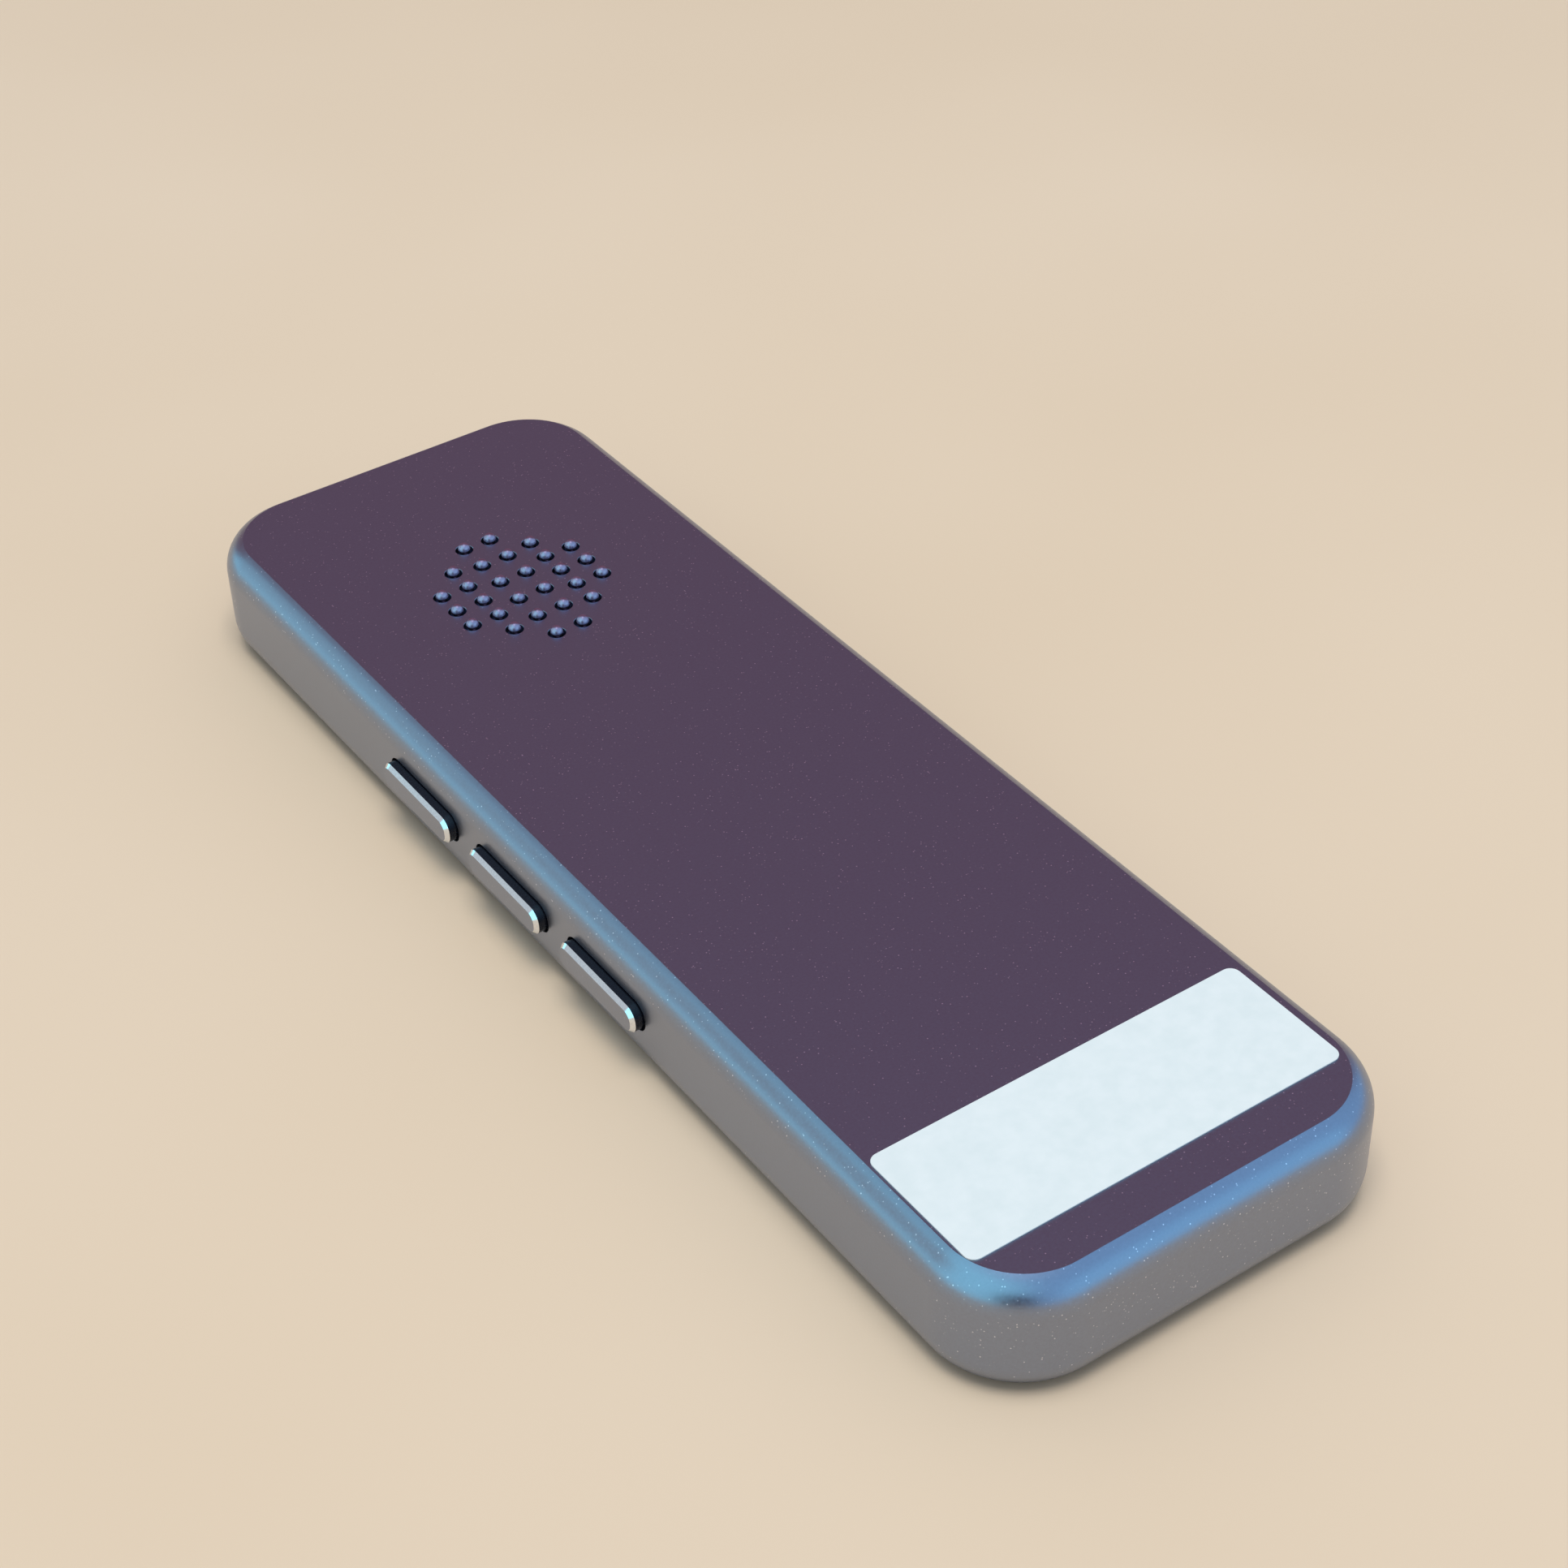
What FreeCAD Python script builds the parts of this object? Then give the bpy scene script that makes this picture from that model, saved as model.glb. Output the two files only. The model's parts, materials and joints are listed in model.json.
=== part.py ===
import FreeCAD, Part

import math
import os
from FreeCAD import Vector

# Handheld translator, lying on its front face as it does in the photograph.
# Millimetres. Origin: centre of the front glass face that it rests on.
# +Y runs to the speaker end, +X away from the three side keys, +Z to the back face.

# Case
LENGTH = 112.2
WIDTH = 36.0
THICK = 10.0
CORNER_R = 7.5
EDGE_R = 3.0
CREASE_DEG = 25.0
WALL = 1.2
BACK_WALL = 1.0
CAVITY_R = 1.6

# Sound holes in the back, in six columns, with a round-headed pin in each
GRILLE_Y = 31.0
HOLE_R = 0.75
HOLE_CHAMFER = 0.05
PIN_HEAD_R = 0.54
PIN_HEAD_Z = 10.10
PIN_NECK_R = 0.3
PIN_RING_W = 1.0
PIN_BAR_W = 0.5
PIN_BAR_T = 0.2
GRILLE_COLUMNS = (
    (1.25, (-7.5, -4.5, -1.5, 1.5, 4.5, 7.5)),
    (3.75, (-5.0, -2.5, 0.0, 2.5, 5.0)),
    (6.25, (-2.5, 0.0, 2.5)),
)

# Side keys, on the -X wall
SIDE_KEY_Y = 3.4
SIDE_KEY_PITCH = 13.3
SIDE_KEY_LENGTH = 10.2
SIDE_KEY_HEIGHT = 2.4
SIDE_KEY_R = 1.1
SIDE_KEY_PROUD = 0.95
SIDE_KEY_CHAMFER = 0.3
SIDE_KEY_GAP_Y = 0.2
SIDE_KEY_GAP_Z = 0.13
SIDE_KEY_FLANGE = 0.5
SIDE_KEY_FLANGE_T = 0.4
SIDE_KEY_TRAVEL = 0.25
SIDE_KEY_BEHIND = 0.1
SIDE_KEY_NUB_T = 0.1
KEY_PLAY = 0.05

# Switches on a flexible strip behind the side keys, and the bracket that backs it
SWITCH_DEPTH = 0.75
SWITCH_LENGTH = 3.4
PLUNGER_L = 0.35
STRIP_T = 0.2
FLEX_T = 0.15
BRACKET_T = 0.4
BRACKET_Z = 6.5
BRACKET_POST_R = 1.3
BRACKET_SCREW_R = 0.5
BRACKET_SCREWS = ((-13.5, SIDE_KEY_Y + 18.2), (-13.5, SIDE_KEY_Y - 18.6))

# Talk keys, on the front
TALK_KEY_X = 7.8
TALK_KEY_Y = -37.0
TALK_KEY_R = 5.5
TALK_KEY_GAP = 0.1
TALK_KEY_SUNK = 0.35
TALK_KEY_FLANGE_R = 6.3
TALK_KEY_TRAVEL = 0.3
TALK_KEY_DISH_R = 40.0
TALK_KEY_DISH = 0.3
TALK_KEY_FLANGE_T = 0.4
TALK_KEY_NUB_T = 0.1

# Front glass, its tape and the frame that carries them
GLASS_T = 0.8
GLASS_EDGE = 2.3
GLASS_R = 5.2
GLASS_GAP = 0.1
GLASS_ROUND = 0.25
TAPE_T = 0.15
FRAME_PROUD_Z = 0.15
FRAME_PLATE_T = 0.6
FRAME_SKIRT_T = 1.0
FRAME_GAP = 0.1

# Screen module behind the glass
SCREEN_W = 29.0
SCREEN_L = 62.0
SCREEN_T = 1.6
SCREEN_Y = 11.0
SCREEN_GAP = 0.15

# Main board
BOARD_Z = 3.0
BOARD_T = 0.8
BOARD_HALF_W = 15.0
BOARD_HALF_L = 53.6
BOARD_R = 5.0

# Screws that clamp frame, board and case together
FRAME_SCREWS = ((12.6, 49.6), (-12.6, 49.6), (13.2, -28.0), (-13.2, -28.0), (12.6, -49.6), (-12.6, -49.6))
SCREW_R = 0.7
SCREW_HEAD_R = 1.4
SCREW_HEAD_T = 0.5
SCREW_LENGTH = 5.5
POST_R = 1.6
BOSS_R = 2.0
SCREW_CLEAR = 0.1
PILOT_CLEAR = 0.02

# Battery and its tray
BATTERY_W = 27.0
BATTERY_L = 42.0
BATTERY_T = 4.3
BATTERY_X = 1.9
BATTERY_Y = -3.0
TRAY_FLOOR = 0.5
TRAY_RIB = 0.6
TRAY_HEIGHT = 1.5
LEAD_R = 0.4
LEAD_REACH = 4.2
LEAD_BEND = 1.0
LEAD_X = (3.4, 5.4)
CONNECTOR_T = 1.3

# Speaker
SPEAKER_R = 10.0
SPEAKER_T = 3.6
SPEAKER_WALL = 1.1
GASKET_T = 0.4
MESH_T = 0.2

# Charging socket, on the far end wall
PORT_W = 8.94
PORT_H = 3.26
PORT_L = 7.3
PORT_SHELL = 0.3
PORT_TONGUE_W = 6.69
PORT_TONGUE_T = 0.7
PORT_TONGUE_L = 4.45
PORT_GAP = 0.12
PORT_RECESS = 0.15
PORT_Z = 5.0

# Microphones, beside the charging socket
MIC_X = 8.2
MIC_W = 3.5
MIC_L = 2.65
MIC_T = 1.0
MIC_HOLE_R = 0.5
MIC_BOOT_Y0 = 51.4

# Chips under the shield, and the antenna at the near end
CHIP_Y = -38.8
CAN_HEIGHT = 1.6
CAN_T = 0.2
CARRIER_Y1 = -50.2

# Label on the back
LABEL_W = 31.8
LABEL_L = 11.3
LABEL_T = 0.1
LABEL_R = 0.8
LABEL_X = -0.2
LABEL_Y = -45.05

HALF_L = LENGTH / 2
HALF_W = WIDTH / 2
CREASE_LOSS = EDGE_R * (1 - math.cos(math.radians(CREASE_DEG)))
INNER_X = HALF_W - WALL
INNER_Y = HALF_L - WALL
INNER_TOP = THICK - BACK_WALL
MID_Z = THICK / 2
SEAM_Z = GLASS_T + TAPE_T
PLATE_TOP = SEAM_Z + FRAME_PLATE_T
BOARD_TOP = BOARD_Z + BOARD_T
SCREEN_TOP = GLASS_T + SCREEN_T
SCREEN_FLEX_Y0 = SCREEN_Y - SCREEN_L / 2 - 6.0
SCREEN_FLEX_Y1 = SCREEN_Y - SCREEN_L / 2 + 5.0
KEY_BACK_X = -INNER_X + SIDE_KEY_BEHIND
SIDE_KEY_NUB_X = KEY_BACK_X + SIDE_KEY_FLANGE_T + SIDE_KEY_NUB_T
PLUNGER_X = SIDE_KEY_NUB_X + SIDE_KEY_TRAVEL + KEY_PLAY
SWITCH_BACK_X = PLUNGER_X + SWITCH_DEPTH
STRIP_BACK_X = SWITCH_BACK_X + STRIP_T
STRIP_Z0 = BOARD_TOP + FLEX_T
STRIP_Z1 = BRACKET_Z - BRACKET_T
PORT_MOUTH_Y = HALF_L - PORT_RECESS
PORT_BACK_Y = PORT_MOUTH_Y - PORT_L
MIC_BOOT_Y1 = INNER_Y - 0.1
BATTERY_Z = BOARD_TOP + TRAY_FLOOR
BATTERY_TOP = BATTERY_Z + BATTERY_T
CONNECTOR_TOP = BOARD_TOP + CONNECTOR_T
LEAD_Z = BATTERY_TOP - 1.6
LEAD_Y0 = BATTERY_Y - BATTERY_L / 2
LEAD_Y1 = LEAD_Y0 - LEAD_REACH
SPEAKER_CUP_R = SPEAKER_R + 0.1
SPEAKER_Z = BOARD_TOP + 0.7
SPEAKER_TOP = SPEAKER_Z + SPEAKER_T
PIN_BAR_Z0 = INNER_TOP - PIN_BAR_T
MESH_Z0 = PIN_BAR_Z0 - MESH_T
GASKET_Z0 = MESH_Z0 - GASKET_T
CARRIER_Y0 = -INNER_Y + 0.4
CARRIER_TOP = INNER_TOP - 0.8

os.makedirs("parts", exist_ok=True)


def save(node, shape):
    shape.exportStep("parts/" + node + ".step")


def box(x0, x1, y0, y1, z0, z1):
    return Part.makeBox(x1 - x0, y1 - y0, z1 - z0, Vector(x0, y0, z0))


def disc(x, y, z0, z1, r):
    return Part.makeCylinder(r, z1 - z0, Vector(x, y, z0))


def plate(half_x, half_y, r, z0, z1, x=0.0, y=0.0):
    """A rounded rectangle in plan, between two heights."""
    body = box(x - half_x, x + half_x, y - half_y, y + half_y, z0, z1)
    corners = [e for e in body.Edges if abs(e.tangentAt(e.FirstParameter).z) > 0.9]
    return body.makeFillet(r, corners)


def side_bar(x0, x1, y, z, length, height, r):
    """A bar with a rounded outline in the side view, through or on the side wall."""
    body = box(x0, x1, y - length / 2, y + length / 2, z - height / 2, z + height / 2)
    corners = [e for e in body.Edges if abs(e.tangentAt(e.FirstParameter).x) > 0.9]
    return body.makeFillet(r, corners)


def end_bar(y0, y1, x, z, width, height, r):
    """A bar with a rounded outline in the end view, along the length."""
    body = box(x - width / 2, x + width / 2, y0, y1, z - height / 2, z + height / 2)
    corners = [e for e in body.Edges if abs(e.tangentAt(e.FirstParameter).y) > 0.9]
    return body.makeFillet(r, corners)


def rim(shape, z):
    """The edges that lie flat at one height."""
    return [e for e in shape.Edges if all(abs(v.Z - z) < 1e-6 for v in e.Vertexes)
            and abs(e.CenterOfMass.z - z) < 1e-6]


def outer_block():
    """The outside of the whole body: round edges that meet both flats at a crease."""
    block = plate(HALF_W, HALF_L, CORNER_R, -CREASE_LOSS, THICK + CREASE_LOSS)
    edges = rim(block, -CREASE_LOSS) + rim(block, THICK + CREASE_LOSS)
    block = block.makeFillet(EDGE_R, edges)
    return block.common(box(-WIDTH, WIDTH, -LENGTH, LENGTH, 0, THICK))


def cavity():
    """The space inside the case, open at the front."""
    inside = plate(INNER_X, INNER_Y, CORNER_R - WALL, -1.0, INNER_TOP)
    return inside.makeFillet(CAVITY_R, rim(inside, INNER_TOP))


def grille_points():
    for x, rows in GRILLE_COLUMNS:
        for y in rows:
            yield Vector(x, GRILLE_Y + y, 0)
            yield Vector(-x, GRILLE_Y + y, 0)


def side_key_centres():
    return [SIDE_KEY_Y + SIDE_KEY_PITCH * k for k in (1, 0, -1)]


def back_case():
    shell = outer_block().common(box(-WIDTH, WIDTH, -LENGTH, LENGTH, SEAM_Z, THICK)).cut(cavity())
    for x, y in FRAME_SCREWS:
        shell = shell.fuse(disc(x, y, BOARD_TOP, INNER_TOP + 0.2, POST_R))
    for x, y in BRACKET_SCREWS:
        shell = shell.fuse(disc(x, y, BRACKET_Z, INNER_TOP + 0.2, BRACKET_POST_R))
    cuts = []
    for x, y in FRAME_SCREWS:
        cuts.append(disc(x, y, BOARD_TOP, 7.8, SCREW_R + PILOT_CLEAR))
    for x, y in BRACKET_SCREWS:
        cuts.append(disc(x, y, BRACKET_Z, 8.6, BRACKET_SCREW_R + PILOT_CLEAR))
    for p in grille_points():
        cuts.append(disc(p.x, p.y, INNER_TOP - 0.1, THICK + 0.1, HOLE_R))
        cuts.append(Part.makeCone(HOLE_R, HOLE_R + HOLE_CHAMFER, HOLE_CHAMFER,
                                  Vector(p.x, p.y, THICK - HOLE_CHAMFER)))
    for y in side_key_centres():
        cuts.append(side_bar(-HALF_W - 1, -INNER_X + 0.3, y, MID_Z,
                             SIDE_KEY_LENGTH + 2 * SIDE_KEY_GAP_Y, SIDE_KEY_HEIGHT + 2 * SIDE_KEY_GAP_Z,
                             SIDE_KEY_R + SIDE_KEY_GAP_Z))
    cuts.append(end_bar(INNER_Y - 0.5, HALF_L + 1, 0, PORT_Z, PORT_W + 2 * PORT_GAP,
                        PORT_H + 2 * PORT_GAP, PORT_H / 2 + PORT_GAP - 0.01))
    for x in (-MIC_X, MIC_X):
        cuts.append(Part.makeCylinder(MIC_HOLE_R, 4, Vector(x, INNER_Y - 1, PORT_Z), Vector(0, 1, 0)))
    return shell.cut(cuts).removeSplitter()


def front_frame():
    """The rim seen round the glass, the plate behind it and the skirt inside the case."""
    ring = outer_block().common(box(-WIDTH, WIDTH, -LENGTH, LENGTH, FRAME_PROUD_Z, SEAM_Z))
    inner_r = CORNER_R - WALL - FRAME_GAP
    deck = plate(INNER_X - FRAME_GAP, INNER_Y - FRAME_GAP, inner_r, SEAM_Z, PLATE_TOP)
    skirt = plate(INNER_X - FRAME_GAP, INNER_Y - FRAME_GAP, inner_r, PLATE_TOP, BOARD_Z).cut(
        plate(INNER_X - FRAME_GAP - FRAME_SKIRT_T, INNER_Y - FRAME_GAP - FRAME_SKIRT_T,
              inner_r - FRAME_SKIRT_T, PLATE_TOP, BOARD_Z))
    frame = ring.fuse([deck, skirt])
    frame = frame.fuse([disc(x, y, PLATE_TOP, BOARD_Z, BOSS_R) for x, y in FRAME_SCREWS])
    cuts = [plate(HALF_W - GLASS_EDGE + GLASS_GAP, HALF_L - GLASS_EDGE + GLASS_GAP, GLASS_R + GLASS_GAP,
                  -1.0, SEAM_Z)]
    cuts.append(box(-SCREEN_W / 2 - SCREEN_GAP, SCREEN_W / 2 + SCREEN_GAP,
                    SCREEN_Y - SCREEN_L / 2 - SCREEN_GAP, SCREEN_Y + SCREEN_L / 2 + SCREEN_GAP,
                    SEAM_Z, PLATE_TOP))
    for x in (-TALK_KEY_X, TALK_KEY_X):
        cuts.append(disc(x, TALK_KEY_Y, SEAM_Z, PLATE_TOP, TALK_KEY_R + TALK_KEY_GAP))
    for x, y in FRAME_SCREWS:
        cuts.append(disc(x, y, SEAM_Z, SEAM_Z + SCREW_HEAD_T, SCREW_HEAD_R + SCREW_CLEAR))
        cuts.append(disc(x, y, SEAM_Z, BOARD_Z, SCREW_R + SCREW_CLEAR))
    return frame.cut(cuts).removeSplitter()


def front_glass():
    glass = plate(HALF_W - GLASS_EDGE, HALF_L - GLASS_EDGE, GLASS_R, 0, GLASS_T)
    glass = glass.makeFillet(GLASS_ROUND, rim(glass, 0))
    holes = [disc(x, TALK_KEY_Y, 0, GLASS_T, TALK_KEY_R + TALK_KEY_GAP) for x in (-TALK_KEY_X, TALK_KEY_X)]
    return glass.cut(holes)


def glass_tape():
    tape = plate(HALF_W - GLASS_EDGE - 0.1, HALF_L - GLASS_EDGE - 0.1, GLASS_R - 0.1, GLASS_T, SEAM_Z)
    window = box(-SCREEN_W / 2 - SCREEN_GAP, SCREEN_W / 2 + SCREEN_GAP,
                 SCREEN_Y - SCREEN_L / 2 - SCREEN_GAP, SCREEN_Y + SCREEN_L / 2 + SCREEN_GAP, GLASS_T, SEAM_Z)
    holes = [disc(x, TALK_KEY_Y, GLASS_T, SEAM_Z, TALK_KEY_R + 2 * TALK_KEY_GAP)
             for x in (-TALK_KEY_X, TALK_KEY_X)]
    return tape.cut([window] + holes)


def screen_module():
    """Touch panel, display and steel back plate bonded into one block."""
    panel = plate(SCREEN_W / 2, SCREEN_L / 2, 0.6, GLASS_T, GLASS_T + SCREEN_T, 0, SCREEN_Y)
    step = plate(SCREEN_W / 2 - 0.5, SCREEN_L / 2 - 0.5, 0.6, GLASS_T + SCREEN_T - 0.3, GLASS_T + SCREEN_T,
                 0, SCREEN_Y)
    slab = panel.common(box(-WIDTH, WIDTH, -LENGTH, LENGTH, 0, GLASS_T + SCREEN_T - 0.3))
    return slab.fuse(step).removeSplitter()


def screen_flex():
    tail = box(-4.5, 4.5, SCREEN_FLEX_Y0, SCREEN_FLEX_Y1, SCREEN_TOP, SCREEN_TOP + FLEX_T)
    neck = box(-7.0, 7.0, SCREEN_FLEX_Y1 - 3.0, SCREEN_FLEX_Y1, SCREEN_TOP, SCREEN_TOP + FLEX_T)
    return tail.fuse(neck).removeSplitter()


def screen_connector():
    return box(-5.2, 5.2, SCREEN_FLEX_Y0 - 0.4, SCREEN_FLEX_Y0 + 3.4, SCREEN_TOP + FLEX_T, BOARD_Z)


def talk_key(x):
    """A dished round cap, a flange that keeps it in, and the nub that works the switch."""
    flange_z = PLATE_TOP + TALK_KEY_GAP
    nub_z = flange_z + TALK_KEY_FLANGE_T
    cap = disc(x, TALK_KEY_Y, TALK_KEY_SUNK, flange_z + 0.1, TALK_KEY_R)
    cap = cap.makeChamfer(0.2, rim(cap, TALK_KEY_SUNK))
    dish = Part.makeSphere(TALK_KEY_DISH_R,
                           Vector(x, TALK_KEY_Y, TALK_KEY_SUNK + TALK_KEY_DISH - TALK_KEY_DISH_R))
    flange = disc(x, TALK_KEY_Y, flange_z, nub_z, TALK_KEY_FLANGE_R)
    nub = disc(x, TALK_KEY_Y, nub_z, nub_z + TALK_KEY_NUB_T, 1.0)
    return cap.cut(dish).fuse([flange, nub]).removeSplitter()


def talk_switch(x):
    """A low dome switch on the front side of the board."""
    reach = PLATE_TOP + TALK_KEY_GAP + TALK_KEY_FLANGE_T + TALK_KEY_NUB_T + TALK_KEY_TRAVEL + KEY_PLAY
    base = box(x - 2.0, x + 2.0, TALK_KEY_Y - 2.0, TALK_KEY_Y + 2.0, reach + 0.25, BOARD_Z)
    return base.fuse(disc(x, TALK_KEY_Y, reach, reach + 0.25, 1.2)).removeSplitter()


def main_board():
    board = plate(BOARD_HALF_W, BOARD_HALF_L, BOARD_R, BOARD_Z, BOARD_TOP)
    cuts = [disc(x, y, BOARD_Z, BOARD_TOP, SCREW_R + SCREW_CLEAR) for x, y in FRAME_SCREWS]
    cuts.append(box(-PORT_W / 2 - 0.2, PORT_W / 2 + 0.2, PORT_BACK_Y - 0.2, HALF_L, BOARD_Z, BOARD_TOP))
    return board.cut(cuts)


def charging_port():
    """A steel shell, closed at the back, with a tongue and side legs on the board."""
    shell = end_bar(PORT_BACK_Y, PORT_MOUTH_Y, 0, PORT_Z, PORT_W, PORT_H, PORT_H / 2 - 0.01)
    bore = end_bar(PORT_BACK_Y + 0.8, PORT_MOUTH_Y + 1, 0, PORT_Z, PORT_W - 2 * PORT_SHELL,
                   PORT_H - 2 * PORT_SHELL, PORT_H / 2 - PORT_SHELL - 0.01)
    feet = box(-PORT_W / 2 - 0.9, PORT_W / 2 + 0.9, PORT_BACK_Y + 1.0, PORT_BACK_Y + 2.6,
               BOARD_TOP, BOARD_TOP + 0.6)
    return shell.fuse(feet).cut(bore).removeSplitter()


def port_tongue():
    """The contact tongue, held in the back of the shell."""
    y0 = PORT_BACK_Y + 0.8
    tongue = box(-PORT_TONGUE_W / 2, PORT_TONGUE_W / 2, y0, y0 + 1.2 + PORT_TONGUE_L,
                 PORT_Z - PORT_TONGUE_T / 2, PORT_Z + PORT_TONGUE_T / 2)
    root = box(-PORT_TONGUE_W / 2, PORT_TONGUE_W / 2, y0, y0 + 1.2, PORT_Z - 1.0, PORT_Z + 1.0)
    return tongue.fuse(root).removeSplitter()


def side_key(y):
    """Bevelled bar through the wall, with a flange behind it and a nub for its switch."""
    out = -HALF_W - SIDE_KEY_PROUD
    back = KEY_BACK_X
    bar = side_bar(out, back, y, MID_Z, SIDE_KEY_LENGTH, SIDE_KEY_HEIGHT, SIDE_KEY_R)
    face = [e for e in bar.Edges if abs(e.CenterOfMass.x - out) < 1e-6]
    bar = bar.makeChamfer(SIDE_KEY_CHAMFER, face)
    flange = side_bar(back, back + SIDE_KEY_FLANGE_T, y, MID_Z, SIDE_KEY_LENGTH + 2 * SIDE_KEY_FLANGE,
                      SIDE_KEY_HEIGHT + 2 * SIDE_KEY_FLANGE, SIDE_KEY_R + SIDE_KEY_FLANGE)
    nub = side_bar(back + SIDE_KEY_FLANGE_T, SIDE_KEY_NUB_X, y, MID_Z, 1.8, 1.2, 0.3)
    return bar.fuse([flange, nub]).removeSplitter()


def side_switch(y):
    """A small switch on the key strip, its plunger towards the key."""
    half = SWITCH_LENGTH / 2
    base = box(PLUNGER_X + PLUNGER_L, SWITCH_BACK_X, y - half, y + half, STRIP_Z0, STRIP_Z1)
    plunger = Part.makeCylinder(0.7, PLUNGER_L, Vector(PLUNGER_X, y, MID_Z), Vector(1, 0, 0))
    return base.fuse(plunger).removeSplitter()


def side_key_strip():
    """The flexible strip behind the three switches, with its foot on the board."""
    y0 = SIDE_KEY_Y - 16.5
    y1 = SIDE_KEY_Y + 19.0
    strip = box(SWITCH_BACK_X, STRIP_BACK_X, y0, y1, BOARD_TOP, STRIP_Z1)
    foot = box(SWITCH_BACK_X, SWITCH_BACK_X + 4.5, y1 - 3.0, y1, BOARD_TOP, STRIP_Z0)
    lift = box(SWITCH_BACK_X, STRIP_BACK_X, y0, y1 - 3.0, BOARD_TOP, STRIP_Z0)
    return strip.cut(lift).fuse(foot).removeSplitter()


def side_key_bracket():
    """An angled steel strip that backs the switches, hung from two posts of the case."""
    ys = [y for x, y in BRACKET_SCREWS]
    y0 = min(ys) - 1.5
    y1 = max(ys) + 1.5
    upright = box(STRIP_BACK_X, STRIP_BACK_X + BRACKET_T, y0, y1, STRIP_Z0, BRACKET_Z)
    shelf = box(STRIP_BACK_X, -12.5, y0, y1, BRACKET_Z - BRACKET_T, BRACKET_Z)
    holes = [disc(x, y, 6.0, BRACKET_Z, BRACKET_SCREW_R + SCREW_CLEAR) for x, y in BRACKET_SCREWS]
    waist = box(-13.4, -12.0, y0 + 4.0, y1 - 4.0, 6.0, BRACKET_Z)
    return upright.fuse(shelf).cut(holes + [waist]).removeSplitter()


def screw(x, y, head_z, length, r, head_r, head_t):
    """A pan-head screw driven upwards, with a cross recess in its head."""
    head = disc(x, y, head_z, head_z + head_t, head_r)
    head = head.makeChamfer(head_t * 0.3, rim(head, head_z))
    arm = head_r * 0.55
    slot = r * 0.22
    cross = [box(x - arm, x + arm, y - slot, y + slot, head_z, head_z + head_t * 0.6),
             box(x - slot, x + slot, y - arm, y + arm, head_z, head_z + head_t * 0.6)]
    shank = disc(x, y, head_z + head_t, head_z + head_t + length, r)
    return head.cut(cross).fuse(shank)


def frame_screws():
    return Part.makeCompound([screw(x, y, SEAM_Z, SCREW_LENGTH, SCREW_R, SCREW_HEAD_R, SCREW_HEAD_T)
                              for x, y in FRAME_SCREWS])


def bracket_screws():
    return Part.makeCompound([screw(x, y, BRACKET_Z - BRACKET_T - 0.4, 2.2, BRACKET_SCREW_R, 0.9, 0.4)
                              for x, y in BRACKET_SCREWS])


def battery_tray():
    half_x = BATTERY_W / 2 + 0.1
    half_y = BATTERY_L / 2 + 0.1
    outer = plate(half_x + TRAY_RIB, half_y + TRAY_RIB, 0.8, BOARD_TOP, BOARD_TOP + TRAY_HEIGHT,
                  BATTERY_X, BATTERY_Y)
    inner = box(BATTERY_X - half_x, BATTERY_X + half_x, BATTERY_Y - half_y, BATTERY_Y + half_y,
                BATTERY_Z, BOARD_TOP + TRAY_HEIGHT)
    return outer.cut(inner)


def battery():
    """A foil pouch with soft long edges and a folded terminal edge."""
    pouch = box(BATTERY_X - BATTERY_W / 2, BATTERY_X + BATTERY_W / 2, BATTERY_Y - BATTERY_L / 2 + 2.0,
                BATTERY_Y + BATTERY_L / 2, BATTERY_Z, BATTERY_TOP)
    long_edges = [e for e in pouch.Edges if abs(e.tangentAt(e.FirstParameter).y) > 0.9]
    pouch = pouch.makeFillet(1.2, long_edges)
    lip = box(BATTERY_X - BATTERY_W / 2 + 1.0, BATTERY_X + BATTERY_W / 2 - 1.0,
              BATTERY_Y - BATTERY_L / 2, BATTERY_Y - BATTERY_L / 2 + 2.0, BATTERY_Z + 0.4, BATTERY_TOP - 0.8)
    return pouch.fuse(lip).removeSplitter()


def battery_tape():
    return plate(9.0, 15.0, 1.0, BATTERY_TOP, INNER_TOP, BATTERY_X, BATTERY_Y)


def battery_connector():
    body = box(2.0, 6.8, LEAD_Y1 - 1.3, LEAD_Y1 + 1.3, BOARD_TOP, CONNECTOR_TOP)
    return body.makeChamfer(0.2, rim(body, CONNECTOR_TOP))


def battery_leads():
    """Two insulated wires, out of the battery's end and down into the connector."""
    leads = []
    for x in LEAD_X:
        start = Vector(x, LEAD_Y0, LEAD_Z)
        bend_in = Vector(x, LEAD_Y1 + LEAD_BEND, LEAD_Z)
        turn = LEAD_BEND * math.sqrt(0.5)
        bend_mid = Vector(x, LEAD_Y1 + LEAD_BEND - turn, LEAD_Z - LEAD_BEND + turn)
        bend_out = Vector(x, LEAD_Y1, LEAD_Z - LEAD_BEND)
        end = Vector(x, LEAD_Y1, CONNECTOR_TOP)
        path = Part.Wire([Part.LineSegment(start, bend_in).toShape(),
                          Part.Arc(bend_in, bend_mid, bend_out).toShape(),
                          Part.LineSegment(bend_out, end).toShape()])
        section = Part.Wire(Part.makeCircle(LEAD_R, start, Vector(0, -1, 0)))
        leads.append(path.makePipeShell([section], True, False))
    return Part.makeCompound(leads)


def speaker_housing():
    """A plastic cup that closes the space behind the cone."""
    cup = disc(0, GRILLE_Y, BOARD_TOP, GASKET_Z0, SPEAKER_CUP_R + SPEAKER_WALL)
    hollow = disc(0, GRILLE_Y, SPEAKER_Z, GASKET_Z0, SPEAKER_CUP_R)
    return cup.cut(hollow)


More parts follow.
